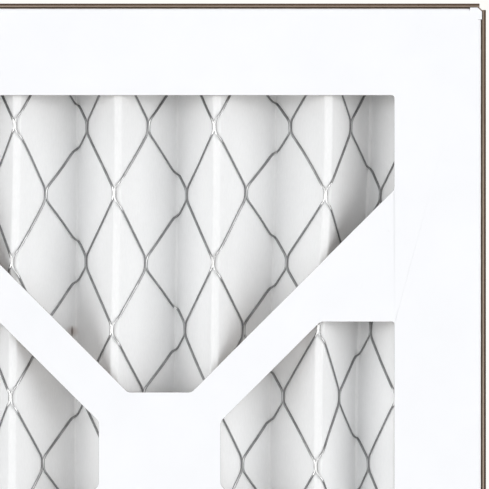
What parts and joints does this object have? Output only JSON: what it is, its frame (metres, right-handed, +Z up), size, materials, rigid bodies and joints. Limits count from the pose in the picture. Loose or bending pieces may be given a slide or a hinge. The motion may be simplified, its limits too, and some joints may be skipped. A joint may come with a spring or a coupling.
{
  "type": "pleated panel air filter",
  "caption": "Square pleated panel air filter: white media on an expanded metal grid, in a die-cut board frame with crossed straps",
  "frame": {"origin": "middle of the bottom edge, on the surface that the filter stands on", "axes": "X along the width, +Y from the front (grid side, where air leaves) to the rear, +Z up along the pleats"},
  "size_m": [0.2984, 0.019, 0.2984],
  "materials": {
    "frame_board": "matte",
    "filter_media": "matte",
    "grid_metal": "satin",
    "sealant": "satin"
  },
  "bodies": {
    "root": {"front_frame_half": "frame_board", "rear_frame_half": "frame_board", "pleated_media": "filter_media", "support_grid": "grid_metal", "top_sealant": "sealant", "bottom_sealant": "sealant", "left_sealant": "sealant", "right_sealant": "sealant"}
  },
  "joints": []
}
